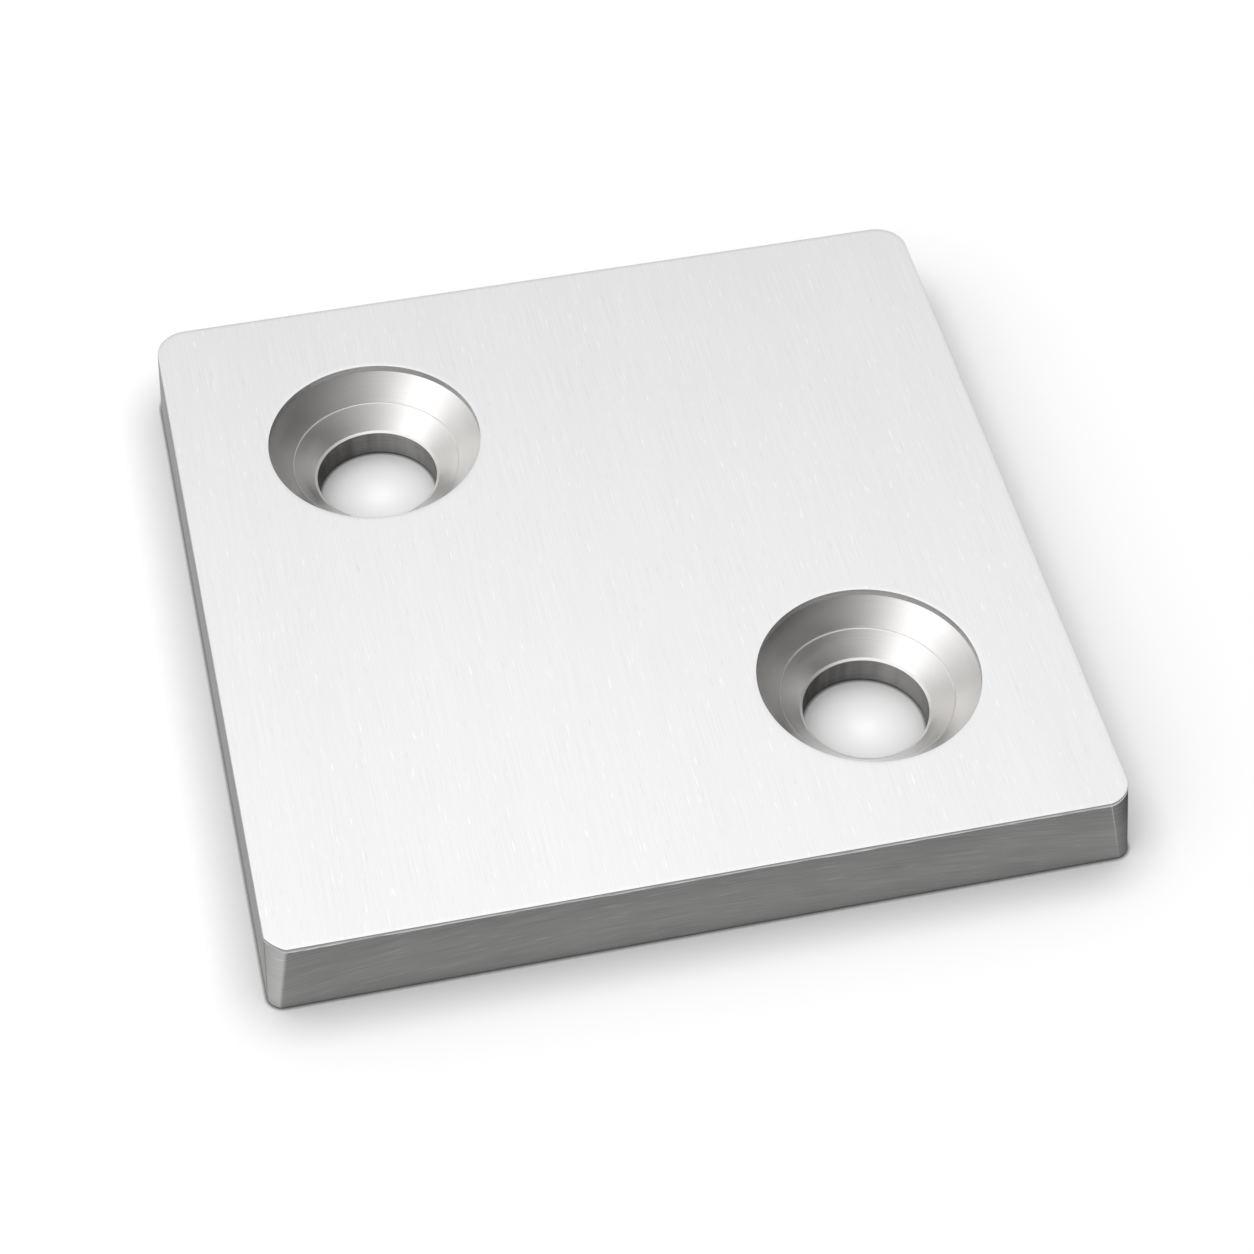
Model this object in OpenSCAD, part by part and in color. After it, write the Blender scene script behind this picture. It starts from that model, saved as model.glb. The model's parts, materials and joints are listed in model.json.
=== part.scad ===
// Profile end cap: a thick square plate that closes the end of a square
// framing profile. Two countersunk screws hold it, on opposite corners of
// the profile's grid of screw channels, and their heads sit below the face.
//
// Frame: the origin is the centre of the underside, which seats on the end of
// the profile. +Z points out of the countersunk face, and X and Y run along
// the sides. One hole lies towards -X and +Y, the other towards +X and -Y.
// All lengths are in millimetres.

/* [Plate] */
// Length of each side of the square plate at its widest, by the underside
plate_side = 60; // [50:0.5:120]
// Thickness of the plate
plate_t = 6; // [5:0.1:12]
// How far each side leans in between the break at its foot and the break at the face
side_lean = 0.3; // [0:0.05:0.6]
// Radius of the plate's four corners, at the top of the leaning sides
corner_r = 2.3; // [1:0.1:6]
// Width of the small break along the edges of the face
face_break = 0.15; // [0.05:0.05:0.8]
// Width of the small break along the edges of the underside
underside_break = 0.15; // [0.05:0.05:0.8]

/* [Screw holes] */
// Distance between the two holes, the same along X and along Y
hole_pitch = 30; // [26:1:40]
// Diameter of the through bore, which clears the screw's shank
bore_d = 9; // [6:0.1:10]
// Width of the break at the bore's lower edge
bore_break = 0.1; // [0.05:0.05:0.4]

/* [Countersinks] */
// Diameter of the countersink at the face
sink_d = 15.8; // [14:0.1:18]
// Full angle of the countersink's cone, in degrees
sink_angle = 90; // [82:1:110]
// Depth of the upright lip between the face and the cone
lip_depth = 0.55; // [0.2:0.05:1]
// Width of the flatter ring between the cone and the bore
mouth_ring_w = 0.2; // [0.1:0.05:0.8]
// Drop across the flatter ring
mouth_ring_drop = 0.1; // [0.05:0.05:0.3]

/* [Tool mark on the cone] */
// Diameter of the fine groove that the cutter left on the cone
tool_ring_d = 12.4; // [11:0.1:13.5]
// Width of the groove
tool_ring_w = 0.12; // [0.06:0.02:0.3]
// Depth of the groove, square to the cone
tool_ring_depth = 0.02; // [0.01:0.01:0.1]

/* [Hidden] */
$fn = 96;

// How far a cut runs past the face that it opens
overrun = 1;
// Pale bare aluminium
aluminium = [0.87, 0.87, 0.88];

// From the plate's middle to the top of a leaning side
top_reach = plate_side / 2 - side_lean;

// Centres of the corner radii, and of the two screw holes
corner_at = top_reach - corner_r;
corner_places = [for (x = [-corner_at, corner_at], y = [-corner_at, corner_at]) [x, y]];
hole_places = [[-hole_pitch / 2, hole_pitch / 2], [hole_pitch / 2, -hole_pitch / 2]];

// Radii and heights down a screw hole
bore_r = bore_d / 2;
sink_r = sink_d / 2;
mouth_r = bore_r + mouth_ring_w;
cone_top_z = plate_t - lip_depth;
cone_foot_z = cone_z(mouth_r);
bore_top_z = cone_foot_z - mouth_ring_drop;

// The cone's height at a given radius
function cone_z(r) = cone_top_z - (sink_r - r) / tan(sink_angle / 2);

// Section of the plate from its middle, at x = 0, out to a leaning side.
// The top of the side is at x = reach, and its foot lies further out.
module edge_section(reach) {
    foot = reach + side_lean;
    polygon([
        [0, 0],
        [foot - underside_break, 0],
        [foot, underside_break],
        [reach, plate_t - face_break],
        [reach - face_break, plate_t],
        [0, plate_t]
    ]);
}

// A bar as wide as the plate, which ends where the corner radii begin.
// It runs along X, and its long edges carry the breaks.
module bar() {
    rotate([90, 0, 90])
        linear_extrude(2 * corner_at, center = true) {
            edge_section(top_reach);
            mirror([1, 0]) edge_section(top_reach);
        }
}

// One upright corner with the same breaks, turned about the radius centre
module corner_post() {
    rotate_extrude() edge_section(corner_r);
}

// The plate before drilling: two crossed bars and the four corners
module blank() {
    bar();
    rotate(90) bar();
    for (place = corner_places) translate(place) corner_post();
}

// Everything that the drill and the countersink take out at one hole.
// From the underside up: break, bore, flatter ring, cone with its fine
// groove, upright lip.
module screw_hole() {
    groove_r = tool_ring_d / 2;
    half_w = tool_ring_w / 2 * sin(sink_angle / 2);
    groove_out = tool_ring_depth * cos(sink_angle / 2);
    groove_down = tool_ring_depth * sin(sink_angle / 2);
    rotate_extrude()
        polygon([
            [0, -overrun],
            [bore_r + bore_break + overrun, -overrun],
            [bore_r, bore_break],
            [bore_r, bore_top_z],
            [mouth_r, cone_foot_z],
            [groove_r - half_w, cone_z(groove_r - half_w)],
            [groove_r + groove_out, cone_z(groove_r) - groove_down],
            [groove_r + half_w, cone_z(groove_r + half_w)],
            [sink_r, cone_top_z],
            [sink_r, plate_t + overrun],
            [0, plate_t + overrun]
        ]);
}

module cap_plate() {
    color(aluminium)
        difference() {
            blank();
            for (place = hole_places) translate(place) screw_hole();
        }
}

cap_plate();
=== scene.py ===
# %% [markdown]
# # A brushed aluminium end cap
#
# This lesson dresses one small machined part: the square plate that closes the
# end of a framing profile. It is cut from brushed flat bar, its corners are
# rounded, and two holes are drilled and countersunk for screws.
#
# The part's sizes come from a imported model, the frame. It could be dressed by
# adding bevels to that model, but its mesh has to stay as it is. Instead a
# finer mesh of the same form is built here, and stands in for it.

# %% Load the frame
import json
import math

import bmesh
import bpy
from mathutils import Matrix, Vector, noise


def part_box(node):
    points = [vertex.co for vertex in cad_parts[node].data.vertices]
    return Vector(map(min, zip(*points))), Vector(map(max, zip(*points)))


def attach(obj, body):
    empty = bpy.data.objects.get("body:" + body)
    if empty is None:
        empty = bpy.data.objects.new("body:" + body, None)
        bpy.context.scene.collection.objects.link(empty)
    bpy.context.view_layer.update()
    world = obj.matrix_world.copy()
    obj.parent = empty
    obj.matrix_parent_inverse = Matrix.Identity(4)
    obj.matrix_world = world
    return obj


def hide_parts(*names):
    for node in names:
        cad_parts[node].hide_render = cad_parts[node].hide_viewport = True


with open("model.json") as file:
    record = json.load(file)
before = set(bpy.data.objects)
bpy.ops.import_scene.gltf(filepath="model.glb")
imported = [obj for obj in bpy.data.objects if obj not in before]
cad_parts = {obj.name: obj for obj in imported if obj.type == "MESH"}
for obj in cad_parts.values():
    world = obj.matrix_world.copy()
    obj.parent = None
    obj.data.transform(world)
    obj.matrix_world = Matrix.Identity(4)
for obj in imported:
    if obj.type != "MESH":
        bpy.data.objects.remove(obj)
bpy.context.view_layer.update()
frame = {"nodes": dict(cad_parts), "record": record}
print("nodes in the frame:", sorted(frame["nodes"]))

# %% [markdown]
# ## The real sizes
#
# The plate's side and thickness are read from the frame's box, and the places
# and the radius of the bores from its mounts. The small sizes, such as the
# countersink, could be measured on the frame's mesh. They are written out
# here, because a drawing of the part would give them as plain numbers.
#
# The plate is widest at its foot, where it meets the profile. Its sides lean
# in by 0.3 mm on the way up, which is three degrees.

# %% Sizes of the plate and its holes
MM = 0.001
box_low, box_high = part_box("cap_plate")
SIDE = box_high.x - box_low.x
THICK = box_high.z - box_low.z
LEAN = 0.3 * MM
BREAK = 0.15 * MM

bores = [m for m in frame["record"]["mounts"] if m["kind"] == "bore"]
HOLE_CENTRES = [Vector((m["pos_m"][0], m["pos_m"][1], 0)) for m in bores]
BORE_R = bores[0]["dims"]["r_mm"] * MM
BORE_BREAK = 0.1 * MM
SINK_R = 7.9 * MM
LIP_DEPTH = 0.55 * MM
RING_W = 0.2 * MM
RING_DROP = 0.1 * MM
GROOVE_R = 6.2 * MM
GROOVE_W = 0.12 * MM
GROOVE_DEPTH = 0.02 * MM
print(f"plate {SIDE / MM:.1f} x {SIDE / MM:.1f} x {THICK / MM:.1f} mm, bores {2 * BORE_R / MM:.1f} mm")

# %% [markdown]
# ## The camera
#
# The plate is seen from in front and well above, turned a little to one side.
# A camera could be placed by eye. Here it stands where a lens fitted to the
# plate's edges and holes puts it: the place, the point that it looks at and its
# roll are real lengths and angles beside the plate.

# %% Camera
CAMERA_AT = Vector((-33.76, -152.86, 177.06)) * MM
CAMERA_AIM = Vector((-0.62, -7.15, 6)) * MM
CAMERA_ROLL = math.radians(0.34)
LENS_MM = 92
SENSOR_MM = 36
NEAR_CLIP = 1 * MM
FAR_CLIP = 100

camera = bpy.data.objects.new("camera", bpy.data.cameras.new("camera"))
bpy.context.scene.collection.objects.link(camera)
look = (CAMERA_AIM - CAMERA_AT).to_track_quat("-Z", "Y").to_matrix()
turned = look @ Matrix.Rotation(CAMERA_ROLL, 3, "Z")
camera.matrix_world = Matrix.Translation(CAMERA_AT) @ turned.to_4x4()
camera.data.lens = LENS_MM
camera.data.sensor_width = SENSOR_MM
camera.data.clip_start = NEAR_CLIP
camera.data.clip_end = FAR_CLIP
bpy.context.scene.camera = camera
print(f"camera {(CAMERA_AIM - CAMERA_AT).length / MM:.0f} mm away, lens {LENS_MM} mm")

# %% [markdown]
# ## The light
#
# Bare metal shows its surroundings, so the light is laid out by what each
# surface mirrors. Lamps could stand round the plate, but they leave hard-edged
# patches on a cone. Here the plate lies in a photographer's light tent: the
# world is dark cloth, with a soft glow in each direction where a lamp shines
# through it. Most of the light comes from behind and from the left.

# %% Nodes and their links
def node(tree, kind, **settings):
    """Adds a node to a tree. Each setting is a property of the node."""
    made = tree.nodes.new(kind)
    for name, value in settings.items():
        setattr(made, name, value)
    return made


def feed(tree, socket, value):
    """Links an output to a socket, or sets the socket to a plain value."""
    if isinstance(value, bpy.types.NodeSocket):
        tree.links.new(value, socket)
    else:
        socket.default_value = value


def math_node(tree, operation, first, second=0.0):
    """The result of a math node on two values, each an output or a number."""
    made = node(tree, "ShaderNodeMath", operation=operation)
    feed(tree, made.inputs[0], first)
    feed(tree, made.inputs[1], second)
    return made.outputs[0]


print("helpers for node trees are ready")

# %% A tent of light
SOFTNESS = 7.0
CLOTH_LEVEL = 0.02
# Where each light stands: its bearing and height in degrees, then its level
SOFT_LIGHTS = {
    "high rear": (112, 58, 0.69),
    "rear": (60, 49, 0.68),
    "low rear left": (150, 18, 0.5),
    "left": (198, 28, 1.3),
    "front left": (236, 32, 0.34),
    "above": (290, 80, 0.9),
}

world = bpy.data.worlds.new("light_tent")
world.use_nodes = True
tent = world.node_tree
bpy.context.scene.world = world
bpy.context.scene.view_settings.view_transform = "Standard"
direction = node(tent, "ShaderNodeTexCoord").outputs["Generated"]


def glow(bearing, height, level):
    """The brightness of the cloth round a lamp: full towards it, and fading away from it.

    The bearing goes counter-clockwise from +X and the height up from the floor, in degrees.
    """
    turn = math.radians(bearing)
    lift = math.radians(height)
    facing = node(tent, "ShaderNodeVectorMath", operation="DOT_PRODUCT")
    feed(tent, facing.inputs[0], direction)
    towards = Vector((math.cos(turn) * math.cos(lift), math.sin(turn) * math.cos(lift), math.sin(lift)))
    feed(tent, facing.inputs[1], towards)
    away = math_node(tent, "SUBTRACT", facing.outputs["Value"], 1.0)
    fade = math_node(tent, "EXPONENT", math_node(tent, "MULTIPLY", away, SOFTNESS))
    return math_node(tent, "MULTIPLY", fade, level)


brightness = CLOTH_LEVEL
for name, (bearing, height, level) in SOFT_LIGHTS.items():
    brightness = math_node(tent, "ADD", glow(bearing, height, level), brightness)
    print(f"soft light at the {name}: bearing {bearing}, height {height} degrees, level {level}")
feed(tent, tent.nodes["Background"].inputs["Strength"], brightness)
feed(tent, tent.nodes["Background"].inputs["Color"], (1, 1, 1, 1))

# %% [markdown]
# ## The floor
#
# The plate lies on white card. A plane that only glows would hide the plate's
# shadow, and that soft shadow is what sets it on the ground. So the card is a
# diffuse white, with a small glow added that the camera and the metal see. The
# glow fades out in corners, which Ambient Occlusion finds, so it paints a soft
# shadow round the plate. The same node with a shorter reach paints a dark
# contact shadow into the card's colour where the plate touches it.

# %% White card under the plate
FLOOR_HALF = 6.0
CARD_GLOW = 0.31
SHADE_REACH = 4 * MM
CONTACT_REACH = 0.28 * MM
SHADE_POWER = 3.0
SHADE_SAMPLES = 8
WHITE_CARD = (0.95, 0.95, 0.95, 1)
CONTACT_SHADE_CARD = (0.1, 0.1, 0.1, 1)

bpy.ops.mesh.primitive_plane_add(size=2 * FLOOR_HALF)
floor = bpy.context.object
floor.name = "white_card"
card = bpy.data.materials.new("white_card")
card.use_nodes = True
card_tree = card.node_tree
card_shader = card_tree.nodes["Principled BSDF"]
card_shader.inputs["Roughness"].default_value = 1
card_shader.inputs["Specular IOR Level"].default_value = 0
card_shader.inputs["Emission Color"].default_value = (1, 1, 1, 1)
seen_by = node(card_tree, "ShaderNodeLightPath").outputs
seen = math_node(card_tree, "MAXIMUM", seen_by["Is Camera Ray"], seen_by["Is Glossy Ray"])
seen = math_node(card_tree, "MAXIMUM", seen, seen_by["Is Transmission Ray"])


def open_part(reach):
    """How open the card lies, from 0 in a tight corner to 1 where nothing is within reach."""
    openness = node(card_tree, "ShaderNodeAmbientOcclusion", samples=SHADE_SAMPLES)
    openness.inputs["Distance"].default_value = reach
    return math_node(card_tree, "POWER", openness.outputs["AO"], SHADE_POWER)


# Painted contact shadow: the card's colour darkens where the plate touches it
contact_shaded = node(card_tree, "ShaderNodeMix", data_type="RGBA")
feed(card_tree, contact_shaded.inputs["Factor"], open_part(CONTACT_REACH))
contact_shaded.inputs["A"].default_value = CONTACT_SHADE_CARD
contact_shaded.inputs["B"].default_value = WHITE_CARD
feed(card_tree, card_shader.inputs["Base Color"], contact_shaded.outputs["Result"])
# The glow fades in corners, which paints a soft shadow round the plate
seen_and_open = math_node(card_tree, "MULTIPLY", seen, open_part(SHADE_REACH))
card_glow = math_node(card_tree, "MULTIPLY", seen_and_open, CARD_GLOW)
feed(card_tree, card_shader.inputs["Emission Strength"], card_glow)
floor.data.materials.append(card)
print("floor", floor.dimensions.x, "m wide")

# %% [markdown]
# ## Rounding a section
#
# Every edge on the plate is drawn first as a section: a short path of corners,
# seen from the side. Real edges are never quite sharp, and a thin rounding is
# what catches the light. A Bevel modifier could make it. Rounding the section
# gives the same edge, and keeps each surface's name with it.

# %% A helper that rounds the corners of a section
ARC_STEPS = 4
LARGEST_ARC_SHARE = 0.45


def rounded(path, radius):
    """The path's points with each inner corner turned into a short arc.

    Each point is (across, height, finish), where finish names the surface
    that starts at that point. An arc is shared by the surfaces on its two sides,
    and takes up at most the largest share of each line that it joins.
    """
    out = [path[0]]
    for before, here, after in zip(path, path[1:], path[2:]):
        corner = Vector(here[:2])
        back = Vector(before[:2]) - corner
        on = Vector(after[:2]) - corner
        half = (math.pi - back.angle(on)) / 2
        room = LARGEST_ARC_SHARE * min(back.length, on.length)
        reach = min(radius * math.tan(half), room)
        start = corner + back.normalized() * reach
        end = corner + on.normalized() * reach
        for step in range(ARC_STEPS + 1):
            t = step / ARC_STEPS
            point = start.lerp(corner, t).lerp(corner.lerp(end, t), t)
            finish = before[2] if step < ARC_STEPS / 2 else here[2]
            out.append((point.x, point.y, finish))
    out.append(path[-1])
    return out


print("a square corner rounds to", len(rounded([(0, 0, "a"), (1, 0, "b"), (1, 1, "b")], 0.1)), "points")

# %% [markdown]
# ## The corners
#
# Seen from above the plate is a square with rounded corners. The two at the
# back are plain quarter rounds. The two at the front were touched up on a
# grinder, more at the face than at the underside, which left a slightly bowed
# facet that meets the flat sides in soft ridges. A plain radius on all four
# would lack those light and dark facets. So each corner is worked out as three
# arcs that touch: a ridge, the bow and another ridge.

# %% One corner
RIDGE_R = 0.5 * MM
RIDGE_STEPS = 6
BOW_STEPS = 14
SAWN_SHINE = 0.41
# Painted light: how much brighter the sides are painted at the foot than at the top
FOOT_PAINTED_LIGHT = 0.18


def corner_arcs(reach, setback, depth, shines):
    """Points, outward angles and shine of the corner at +X +Y, from the +X side to the +Y side.

    Reach is from the plate's middle to a side, and setback how far the facet
    goes along each side. Depth is how much is gone on the diagonal. Shine says
    how bright the metal is painted, from 0 to 1, on the first ridge, at both
    ends of the bow and on the second ridge. On the front corners it is painted
    light and shade.
    """
    half_chord = setback / math.sqrt(2)
    bow = half_chord - depth
    bow_r = (half_chord**2 + bow**2) / (2 * bow)
    centre = reach - (depth + bow_r) / math.sqrt(2)
    run = reach - RIDGE_R - centre
    rise = math.sqrt((bow_r - RIDGE_R) ** 2 - run**2)
    turn = math.atan2(rise, run)
    first, bow_start, bow_end, second = shines
    bow_middle = (bow_start + bow_end) / 2
    arcs = (
        (reach - RIDGE_R, centre + rise, RIDGE_R, 0, turn, RIDGE_STEPS, (SAWN_SHINE, first, bow_start)),
        (centre, centre, bow_r, turn, math.pi / 2 - turn, BOW_STEPS, (bow_start, bow_middle, bow_end)),
        (centre + rise, reach - RIDGE_R, RIDGE_R, math.pi / 2 - turn, math.pi / 2, RIDGE_STEPS,
         (bow_end, second, SAWN_SHINE)),
    )
    made = []
    for x, y, radius, start, end, steps, (before, peak, after) in arcs:
        for step in range(steps + (end == math.pi / 2)):
            part = step / steps
            angle = start + (end - start) * part
            point = Vector((x + radius * math.cos(angle), y + radius * math.sin(angle), 0))
            # Shine runs from before to after, and passes through peak half way
            ends = before + (after - before) * part
            lift = (peak - (before + after) / 2) * (1 - abs(2 * part - 1))
            made.append((point, angle, ends + lift))
    return made


print("a corner has", RIDGE_STEPS + BOW_STEPS + RIDGE_STEPS + 1, "points")

# %% The four corners
ROUND = (2.3 * MM, 0.97 * MM), (2.5 * MM, 1.05 * MM)
DULL = (0.37, 0.33, 0.33, 0.37)
# Counter-clockwise from +X +Y. Each has its setback and depth at the face and at
# the foot, and then its shines at the face and at the foot.
CORNERS = {
    "rear right": (*ROUND, DULL, DULL),
    "rear left": (*ROUND, DULL, DULL),
    # The front corners' shines are painted light and shade: the front left facet and the front right ridge
    # beside the front painted bright, the front right facet painted dark
    "front left": (
        (1.3 * MM, 0.8 * MM),
        (0.8 * MM, 0.45 * MM),
        (0.25, 0.52, 0.76, 0.6),
        (0.1, 0.56, 0.74, 0.5),
    ),
    "front right": (
        (1.72 * MM, 0.84 * MM),
        (0.88 * MM, 0.42 * MM),
        (0.85, 0.42, 0.0, 0.0),
        (0.42, 0.3, 0.05, 0.0),
    ),
}
for name, (at_face, at_foot, face_shines, foot_shines) in CORNERS.items():
    face_turn = math.degrees(corner_arcs(SIDE / 2 - LEAN, *at_face, face_shines)[RIDGE_STEPS][1])
    foot_turn = math.degrees(corner_arcs(SIDE / 2, *at_foot, foot_shines)[RIDGE_STEPS][1])
    print(f"{name} corner: ridges of {face_turn:.0f} degrees at the face and {foot_turn:.0f} at the foot")

# %% [markdown]
# ## Round the plate
#
# The outline is walked once at the top of the sides and once at their foot,
# with as many points each time. Joined in pairs they give sides that lean, and
# facets that change on the way down. A straight stretch could be one long face,
# but the filed edge wanders along it, so it is cut into short steps.

# %% Points round the outline
SIDE_STEPS = 200


def outline(reach, level):
    """Points, outward directions and shine round the plate.

    Level 0 is the top of its sides, and level 1 their foot.
    """
    corners = []
    for quarter, corner in enumerate(CORNERS.values()):
        turn = Matrix.Rotation(quarter * math.pi / 2, 3, "Z")
        points = []
        for point, angle, shine in corner_arcs(reach, *corner[level], corner[2 + level]):
            out = Vector((math.cos(angle), math.sin(angle), 0))
            points.append((turn @ point, turn @ out, shine))
        corners.append(points)
    made = []
    for corner, following in zip(corners, corners[1:] + corners[:1]):
        made += corner
        start, out, shine = corner[-1]
        end = following[0][0]
        made += [(start.lerp(end, step / SIDE_STEPS), out, shine) for step in range(1, SIDE_STEPS)]
    return made


FACE_RIM = outline(SIDE / 2 - LEAN, 0)
LOW_RIM = outline(SIDE / 2, 1)
print(len(FACE_RIM), "points round the plate")

# %% [markdown]
# ## The edge of the plate
#
# A file held almost upright took the burr off along the face. It left a steep,
# narrow band that is not the same height all the way. The section is kept, and
# its small sizes are multiplied by a smooth random value that changes along the
# edge. At the foot the edge is drawn in a little, which makes the thin dark
# line where the plate meets the floor.

# %% Section of the plate's edge
FACE, EDGE, FILED, SINK, LIP, BORE = range(6)
MARGIN = 0.35 * MM
EDGE_ROUND = 0.02 * MM
FILED_IN = 0.025 * MM
FILED_DOWN = 0.28 * MM
FOOT_IN = 0.06 * MM
FOOT_UP = 0.12 * MM


def edge_section(wear_and_painted_light):
    """From the underside, out and up the edge, to the face: (inset, height, finish)."""
    return rounded(
        [
            (MARGIN, 0, FACE),
            (FOOT_IN, 0, EDGE),
            (0, FOOT_UP, EDGE),
            (0, THICK - FILED_DOWN * wear_and_painted_light, FILED),
            (FILED_IN * wear_and_painted_light, THICK, FACE),
            (MARGIN, THICK, FACE),
        ],
        EDGE_ROUND,
    )


def uneven(place, size, seed):
    """A smooth random value from about -1 to 1 that changes over size metres."""
    return noise.noise(place / size + Vector((0, 0, seed)))


def filed_wear(place):
    """How hard the edge was filed at a place: 1 is the nominal band."""
    long_waves = 0.25 * uneven(place, size=9 * MM, seed=3.1)
    short_waves = 0.2 * uneven(place, size=1.6 * MM, seed=8.4)
    return 1 + long_waves + short_waves


wears = [filed_wear(point) for point, out, shine in FACE_RIM]
print(f"filed band from {min(wears) * FILED_DOWN / MM:.2f} to {max(wears) * FILED_DOWN / MM:.2f} mm high")

# %% [markdown]
# ## The section of a screw hole
#
# A drill makes the straight bore and a conical cutter the seat for the screw's
# head. The cutter plunged a little deep, which left an upright lip at the top.
# It also left a fine groove half way down, and a flatter ring at the bore.

# %% Section of a screw hole
HOLE_ROUND = 0.02 * MM
CONE_TOP = THICK - LIP_DEPTH
MOUTH_R = BORE_R + RING_W
CONE_FOOT = CONE_TOP - (SINK_R - MOUTH_R)
GROOVE_Z = CONE_FOOT + GROOVE_R - MOUTH_R
half_groove = GROOVE_W / 2 * math.sqrt(0.5)
groove_in = GROOVE_DEPTH * math.sqrt(0.5)

hole_section = rounded(
    [
        (SINK_R + MARGIN, THICK, FACE),
        (SINK_R, THICK, LIP),
        (SINK_R, CONE_TOP, SINK),
        (GROOVE_R + half_groove, GROOVE_Z + half_groove, SINK),
        (GROOVE_R + groove_in, GROOVE_Z - groove_in, SINK),
        (GROOVE_R - half_groove, GROOVE_Z - half_groove, SINK),
        (MOUTH_R, CONE_FOOT, SINK),
        (BORE_R, CONE_FOOT - RING_DROP, BORE),
        (BORE_R, BORE_BREAK, BORE),
        (BORE_R + BORE_BREAK, 0, FACE),
        (BORE_R + MARGIN, 0, FACE),
    ],
    HOLE_ROUND,
)
print(f"{len(hole_section)} points down a hole, cone foot at {CONE_FOOT / MM:.2f} mm")

# %% [markdown]
# ## The mesh
#
# The plate is now a set of closed loops of points: some round the outline, some
# down each hole. Bridging each loop to the next makes the walls, and the face
# and the underside are filled between the last loops. The result is one closed
# solid, which a boolean of a block and two drills would also give, but with
# clean rows of quads that shade well.

# %% Loops and walls
HOLE_STEPS = 288
PAINTED_LIT_SIDE = math.radians(30)
PAINTED_LIT_POWER = 3
SAW_R = 150 * MM

plate_mesh = bpy.data.meshes.new("end_cap_plate")
bm = bmesh.new()
grain = bm.verts.layers.float_vector.new("grain")
shine = bm.verts.layers.float.new("shine")
toolpath = bm.loops.layers.uv.new("toolpath")


def add_wall(loops, finishes, across, along):
    """Bridges each loop of vertices to the next.

    It also writes how far across and along the tool's path each vertex lies.
    """
    for row, finish in enumerate(finishes):
        lower, upper = loops[row], loops[row + 1]
        count = len(lower)
        for i in range(count):
            j = (i + 1) % count
            face = bm.faces.new((lower[i], lower[j], upper[j], upper[i]))
            face.material_index = finish
            face.smooth = True
            ends = ((row, i), (row, i + 1), (row + 1, i + 1), (row + 1, i))
            for corner, (r, s) in zip(face.loops, ends):
                corner[toolpath].uv = (across[r], along[s])


def running_length(points):
    """How far each point is along the path, from the first."""
    total = [0.0]
    for a, b in zip(points, points[1:]):
        total.append(total[-1] + (b - a).length)
    return total


def sawn_bend(place):
    """How far the round saw's lines have dropped at a place, against the side's middle."""
    return min(abs(place.x), abs(place.y)) ** 2 / (2 * SAW_R)


print("the mesh's layers:", grain.name, shine.name, toolpath.name)

# %% Wall round the plate
nominal = edge_section(1)
finish_rows = [p[2] for p in nominal[:-1]]
sections = [edge_section(wear_and_painted_light) for wear_and_painted_light in wears]
edge_loops = []
for row in range(len(nominal)):
    loop = []
    for at_face, at_foot, section, wear_and_painted_light in zip(FACE_RIM, LOW_RIM, sections, wears):
        inset, height, finish = section[row]
        share = min(1, max(0, (height - BREAK) / (THICK - 2 * BREAK)))
        out = at_foot[1].lerp(at_face[1], share).normalized()
        place = at_foot[0].lerp(at_face[0], share) - out * inset
        vert = bm.verts.new((place.x, place.y, height))
        vert[grain] = (height + sawn_bend(place), place.x, place.y)
        # Painted light: the sides get brighter towards the foot and darker towards the top
        painted_foot_light = FOOT_PAINTED_LIGHT * (0.5 - height / THICK)
        vert[shine] = at_foot[2] + (at_face[2] - at_foot[2]) * share + painted_foot_light
        if finish == FILED:
            vert[shine] = (THICK - height) / (FILED_DOWN * wear_and_painted_light)
        loop.append(vert)
    edge_loops.append(loop)
across = running_length([Vector((p[0], p[1])) for p in nominal])
around = [rim_point[0] for rim_point in FACE_RIM]
along = running_length(around + around[:1])
add_wall(edge_loops, finish_rows, across, along)
print(len(bm.verts), "vertices round the edge")

# %% Walls of the two holes
hole_loops = []
down = running_length([Vector((p[0], p[1])) for p in hole_section])
turn_lengths = [i / HOLE_STEPS * 2 * math.pi * GROOVE_R for i in range(HOLE_STEPS + 1)]
for centre in HOLE_CENTRES:
    loops = []
    for row, (radius, height, finish) in enumerate(hole_section):
        loop = []
        for step in range(HOLE_STEPS):
            # Clockwise from the near side, seen from above
            angle = -2 * math.pi * step / HOLE_STEPS - math.pi / 2
            out = Vector((math.cos(angle), math.sin(angle), 0))
            place = centre + out * radius
            vert = bm.verts.new((place.x, place.y, height))
            vert[grain] = (down[row], centre.x + out.x * GROOVE_R, out.y * GROOVE_R)
            # Painted light: the wall's shine is brightest on the side 30 degrees from +X, where light falls
            # into the hole
            vert[shine] = ((1 + math.cos(angle - PAINTED_LIT_SIDE)) / 2) ** PAINTED_LIT_POWER
            loop.append(vert)
        loops.append(loop)
    add_wall(loops[::-1], [p[2] for p in hole_section[:-1]][::-1], down[::-1], turn_lengths)
    hole_loops.append(loops)
print(len(bm.verts), "vertices with the holes")

# %% [markdown]
# ## Closing the face and the underside
#
# Both are flat with two round openings. A filled n-gon can't have holes, so
# each is filled with triangles between its outer loop and the rims. On a flat
# surface their shape doesn't show.

# %% Fill the flat faces


def loop_edges(loop):
    """The edges that join a loop's vertices, in order."""
    return [bm.edges.get((loop[i], loop[(i + 1) % len(loop)])) for i in range(len(loop))]


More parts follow.
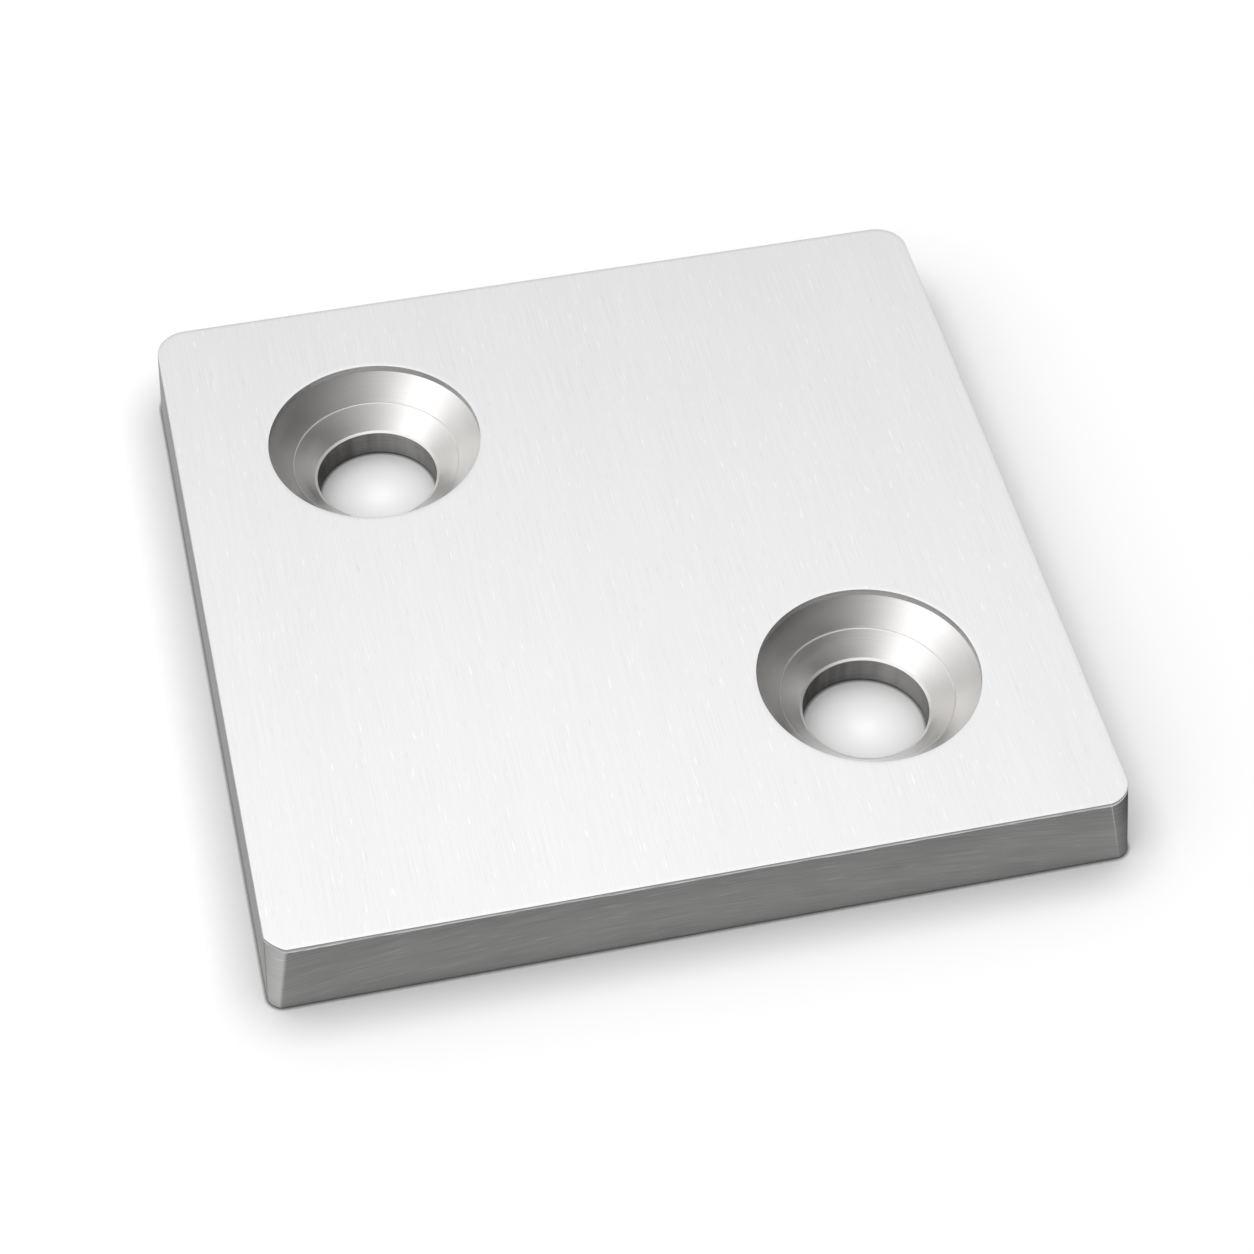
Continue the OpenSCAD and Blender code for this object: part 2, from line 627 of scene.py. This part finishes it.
for edge_row, hole_row, up in ((-1, 0, 1), (0, -1, -1)):
    edges = loop_edges(edge_loops[edge_row])
    for loops in hole_loops:
        edges += loop_edges(loops[hole_row])
    filled = bmesh.ops.triangle_fill(bm, use_beauty=True, use_dissolve=False, edges=edges, normal=(0, 0, up))
    for face in filled["geom"]:
        if isinstance(face, bmesh.types.BMFace):
            face.material_index = FACE
            face.smooth = True
for face in bm.faces:
    if face.material_index == FACE:
        for corner in face.loops:
            corner[toolpath].uv = corner.vert.co.xy
            corner.vert[grain] = corner.vert.co
bmesh.ops.recalc_face_normals(bm, faces=bm.faces)
open_edges = sum(not e.is_manifold for e in bm.edges)
print(f"{len(bm.faces)} faces, {open_edges} open edges, volume {bm.calc_volume() / MM**3:.0f} mm3")
bm.to_mesh(plate_mesh)
bm.free()

# %% Put the plate in the scene
plate = bpy.data.objects.new("end_cap_plate", plate_mesh)
bpy.context.scene.collection.objects.link(plate)
even = plate.modifiers.new("flat faces stay flat", "WEIGHTED_NORMAL")
even.keep_sharp = True
print("plate box, mm:", [round(x / MM, 3) for x in plate.dimensions])

# %% [markdown]
# ## Patterns that follow the tool
#
# All surfaces are the same bare aluminium, and differ in the tool that made
# them. Every tool leaves lines along its path, so every finish starts from
# noise that is stretched that way. The mesh carries the direction in its grain
# attribute: its first number runs across the lines, the other two along them.

# %% Helpers for the patterns
def tool_noise(tree, across, along, seed=0.0, detail=2.0):
    """A random pattern from 0 to 1, in spots of about across by along metres on the surface."""
    read = node(tree, "ShaderNodeAttribute", attribute_name="grain")
    stretched = node(tree, "ShaderNodeVectorMath", operation="MULTIPLY_ADD")
    feed(tree, stretched.inputs[0], read.outputs["Vector"])
    feed(tree, stretched.inputs[1], (1 / across, 1 / along, 1 / along))
    feed(tree, stretched.inputs[2], (seed, seed, seed))
    pattern = node(tree, "ShaderNodeTexNoise")
    feed(tree, pattern.inputs["Vector"], stretched.outputs["Vector"])
    feed(tree, pattern.inputs["Scale"], 1.0)
    feed(tree, pattern.inputs["Detail"], detail)
    return pattern.outputs["Fac"]


def spread(tree, value, low, high, start=0.0, end=1.0, kind="LINEAR"):
    """Maps a value that goes from start to end onto low to high."""
    made = node(tree, "ShaderNodeMapRange", interpolation_type=kind)
    feed(tree, made.inputs["Value"], value)
    feed(tree, made.inputs["From Min"], start)
    feed(tree, made.inputs["From Max"], end)
    feed(tree, made.inputs["To Min"], low)
    feed(tree, made.inputs["To Max"], high)
    return made.outputs["Result"]


def between(tree, factor, first, second):
    """The colour between two, where each is an output or three numbers."""
    made = node(tree, "ShaderNodeMix", data_type="RGBA")
    feed(tree, made.inputs["Factor"], factor)
    for socket, colour in ((made.inputs["A"], first), (made.inputs["B"], second)):
        feed(tree, socket, colour if isinstance(colour, bpy.types.NodeSocket) else (*colour, 1))
    return made.outputs["Result"]


def metal(name, anisotropic):
    """A bare metal whose gloss is stretched across the tool's lines, its node tree and its shader."""
    material = bpy.data.materials.new(name)
    material.use_nodes = True
    tree = material.node_tree
    shader = tree.nodes["Principled BSDF"]
    shader.inputs["Metallic"].default_value = 1
    shader.inputs["Anisotropic"].default_value = anisotropic
    path = node(tree, "ShaderNodeTangent", direction_type="UV_MAP", uv_map="toolpath")
    feed(tree, shader.inputs["Tangent"], path.outputs["Tangent"])
    return material, tree, shader


def relief(tree, shader, height, depth):
    """Gives the surface a bump of depth metres, where height goes from 0 to 1."""
    bump = node(tree, "ShaderNodeBump")
    feed(tree, bump.inputs["Height"], height)
    feed(tree, bump.inputs["Distance"], depth)
    feed(tree, bump.inputs["Strength"], 1.0)
    feed(tree, shader.inputs["Normal"], bump.outputs["Normal"])


print("helpers for the finishes are ready")

# %% [markdown]
# ## The brushed face
#
# The flat bar was brushed lengthwise before it was cut. That leaves hair lines
# that all run one way, with some short deeper scores that look darker, and
# faint broad bands where the belt pressed harder. A few painted glints, nearly
# white, stand in for scores that catch the light. The lines change colour and
# gloss a little, and a very low bump makes them glint.

# %% Brushed face
BAND_COLOURS = (0.88, 0.88, 0.888), (0.93, 0.929, 0.94)
HAIR_SHADES = (0.93, 0.93, 0.93), (1, 1, 1)
SCORE_COLOUR = (0.72, 0.72, 0.725)
GLINT_COLOUR = (0.99, 0.99, 0.99)

face_metal, tree, shader = metal("brushed_face", anisotropic=0.55)
hair = tool_noise(tree, across=0.07 * MM, along=7 * MM, seed=3.0, detail=3.0)
scores = tool_noise(tree, across=0.11 * MM, along=1.6 * MM, seed=31.0, detail=1.0)
scored = spread(tree, scores, 0.0, 0.45, start=0.67, end=0.8, kind="SMOOTHSTEP")
# Painted glints: where the scores' noise is low, the colour goes nearly white
glints = spread(tree, scores, 1.0, 0.0, start=0.2, end=0.33, kind="SMOOTHSTEP")
bands = tool_noise(tree, across=5 * MM, along=70 * MM, seed=7.7)
cloudy = between(tree, bands, *BAND_COLOURS)
lined = between(tree, spread(tree, hair, 0.0, 1.0, start=0.3, end=0.7), *HAIR_SHADES)
face_mix = node(tree, "ShaderNodeMix", data_type="RGBA", blend_type="MULTIPLY")
feed(tree, face_mix.inputs["Factor"], 1.0)
feed(tree, face_mix.inputs["A"], cloudy)
feed(tree, face_mix.inputs["B"], lined)
scratched = between(tree, scored, face_mix.outputs["Result"], SCORE_COLOUR)
feed(tree, shader.inputs["Base Color"], between(tree, glints, scratched, GLINT_COLOUR))
feed(tree, shader.inputs["Roughness"], spread(tree, hair, 0.28, 0.34))
relief(tree, shader, hair, depth=0.0008 * MM)
print("brushed face:", face_metal.name)

# %% [markdown]
# ## The sawn edges
#
# The sides are as the round saw left them: duller than the face, with fine
# lines in shallow arcs and a few lighter strokes. The mesh's shine attribute
# carries painted light and shade: the front left facet and the front right
# corner's ridge beside the front are painted brighter, the front right facet
# towards the right side is painted darker, and the sides are painted brighter
# towards the foot and darker towards the top. A higher roughness alone doesn't
# make metal dull, because at a grazing angle it still mirrors nearly
# everything. A low Specular Tint holds that back, and paints the shade on the
# front right facet.

# %% Sawn edge
SAWN_COLOURS = (0.08, 0.08, 0.079), (0.66, 0.66, 0.65)
# The lower tint paints shade where the shine is low
PAINTED_SHADE_TINT = (0.4, 0.4, 0.4)
BARE_TINT = (1, 1, 1)

edge_metal, tree, shader = metal("sawn_edge", anisotropic=0.8)
painted_light_and_filing = node(tree, "ShaderNodeAttribute", attribute_name="shine").outputs["Fac"]
teeth = tool_noise(tree, across=0.1 * MM, along=5 * MM, seed=12.0, detail=3.0)
strokes = tool_noise(tree, across=0.12 * MM, along=2.5 * MM, seed=55.0, detail=1.0)
stroked = spread(tree, strokes, 0.0, 0.2, start=0.64, end=0.8, kind="SMOOTHSTEP")
blotches = tool_noise(tree, across=1.5 * MM, along=6 * MM, seed=4.0)
# Painted light and shade from the shine attribute, with the saw's teeth, blotches and strokes added
wear_and_painted_light = math_node(tree, "ADD", painted_light_and_filing, spread(tree, teeth, -0.07, 0.07, start=0.25, end=0.75))
wear_and_painted_light = math_node(tree, "ADD", wear_and_painted_light, spread(tree, blotches, -0.02, 0.03, start=0.3, end=0.7))
wear_and_painted_light = math_node(tree, "ADD", wear_and_painted_light, stroked)
feed(tree, shader.inputs["Base Color"], between(tree, wear_and_painted_light, *SAWN_COLOURS))
feed(tree, shader.inputs["Roughness"], spread(tree, wear_and_painted_light, 0.54, 0.36))
# A low shine paints shade through a lower Specular Tint, as on the front right facet
unshaded_share = spread(tree, painted_light_and_filing, 0.0, 1.0, start=0.0, end=SAWN_SHINE - FOOT_PAINTED_LIGHT / 2)
feed(tree, shader.inputs["Specular Tint"], between(tree, unshaded_share, PAINTED_SHADE_TINT, BARE_TINT))
relief(tree, shader, teeth, depth=0.003 * MM)
print("sawn edge:", edge_metal.name)

# %% [markdown]
# ## The filed break
#
# A file took the burr off along the edges of the face. Each stroke bared
# brighter metal, most of all along the lower edge of the band, where the file
# bit. Close to the face the band is duller.

# %% Filed break
FILED_COLOURS = (0.26, 0.26, 0.26), (0.9, 0.9, 0.9)
FILE_BITE = 1.5

break_metal, tree, shader = metal("filed_break", anisotropic=0.4)
file_lines = tool_noise(tree, across=0.1 * MM, along=1.8 * MM, seed=21.0, detail=3.0)
filed = spread(tree, file_lines, 0.25, 1.0, start=0.3, end=0.65)
painted_light_and_filing = node(tree, "ShaderNodeAttribute", attribute_name="shine").outputs["Fac"]
filed = math_node(tree, "MULTIPLY", math_node(tree, "POWER", painted_light_and_filing, FILE_BITE), filed)
feed(tree, shader.inputs["Base Color"], between(tree, filed, *FILED_COLOURS))
feed(tree, shader.inputs["Roughness"], spread(tree, file_lines, 0.32, 0.5))
relief(tree, shader, file_lines, depth=0.004 * MM)
print("filed break:", break_metal.name)

# %% [markdown]
# ## The turned countersinks
#
# The cutter left fine rings round the cone, some of them only part of the way
# round. Turned metal is bright and a little warmer than brushed metal, and its
# highlights are drawn out down the slope, across the rings. The upright lip was
# cut by the side of the tool, which rubs more than it cuts, so it is greyer.

# %% Turned countersink and its lip
SINK_COLOURS = (0.875, 0.863, 0.847), (0.91, 0.898, 0.882)
LIP_COLOURS = (0.52, 0.512, 0.503), (0.62, 0.611, 0.6)


def turned_metal(name, anisotropic, colours, roughness):
    """Bare metal with turned rings, between two colours and two values of roughness."""
    material, tree, shader = metal(name, anisotropic)
    rings = tool_noise(tree, across=0.08 * MM, along=25 * MM, seed=2.0, detail=3.0)
    chatter = tool_noise(tree, across=1.2 * MM, along=5 * MM, seed=9.0, detail=1.0)
    ringed = spread(tree, rings, 0.0, 1.0, start=0.3, end=0.7)
    feed(tree, shader.inputs["Base Color"], between(tree, ringed, *colours))
    feed(tree, shader.inputs["Roughness"], spread(tree, chatter, *roughness, start=0.3, end=0.7))
    relief(tree, shader, rings, depth=0.0009 * MM)
    return material


sink_metal = turned_metal("turned_countersink", 0.6, SINK_COLOURS, roughness=(0.28, 0.34))
lip_metal = turned_metal("turned_lip", 0.9, LIP_COLOURS, roughness=(0.34, 0.44))
print("turned finishes:", sink_metal.name, lip_metal.name)

# %% [markdown]
# ## The drilled bores
#
# A drill cuts rougher than a countersink, and leaves a grey wall with coarse
# rings. One side of the wall is painted brighter than the other, as light
# falling into the hole would make it. That side is written in the mesh's shine
# attribute, and the chips that ran up the drill's flutes left faint upright
# streaks.

# %% Drilled bore
BORE_COLOURS = (0.14, 0.137, 0.134), (0.42, 0.412, 0.402)
BORE_TINT = (0.35, 0.35, 0.35, 1)

bore_metal, tree, shader = metal("drilled_bore", anisotropic=0.9)
spiral = tool_noise(tree, across=0.16 * MM, along=12 * MM, seed=17.0, detail=3.0)
painted_light_and_filing = node(tree, "ShaderNodeAttribute", attribute_name="shine").outputs["Fac"]
# Painted light: the shine attribute brightens the side of the wall that the light falls on
wear_and_painted_light = math_node(tree, "ADD", painted_light_and_filing, spread(tree, spiral, -0.12, 0.12, start=0.25, end=0.75))
runs = tool_noise(tree, across=5 * MM, along=1.1 * MM, seed=41.0, detail=1.0)
wear_and_painted_light = math_node(tree, "ADD", wear_and_painted_light, spread(tree, runs, -0.15, 0.15, start=0.3, end=0.7))
feed(tree, shader.inputs["Base Color"], between(tree, wear_and_painted_light, *BORE_COLOURS))
feed(tree, shader.inputs["Specular Tint"], BORE_TINT)
feed(tree, shader.inputs["Roughness"], spread(tree, spiral, 0.4, 0.5))
relief(tree, shader, spiral, depth=0.0015 * MM)
print("drilled bore:", bore_metal.name)

# %% [markdown]
# ## One plate, six finishes
#
# On the real plate the finishes meet at the edges between the tools' marks.
# Each could be an object of its own, but then thin gaps could show between
# them. Here the plate stays one mesh, and each face has the number of its finish.

# %% Put the finishes on the plate
finishes = {
    FACE: face_metal,
    EDGE: edge_metal,
    FILED: break_metal,
    SINK: sink_metal,
    LIP: lip_metal,
    BORE: bore_metal,
}
for number in sorted(finishes):
    plate_mesh.materials.append(finishes[number])
print("finishes:", [m.name for m in plate_mesh.materials])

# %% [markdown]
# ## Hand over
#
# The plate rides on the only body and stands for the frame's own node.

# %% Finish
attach(plate, "root")
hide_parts("cap_plate")
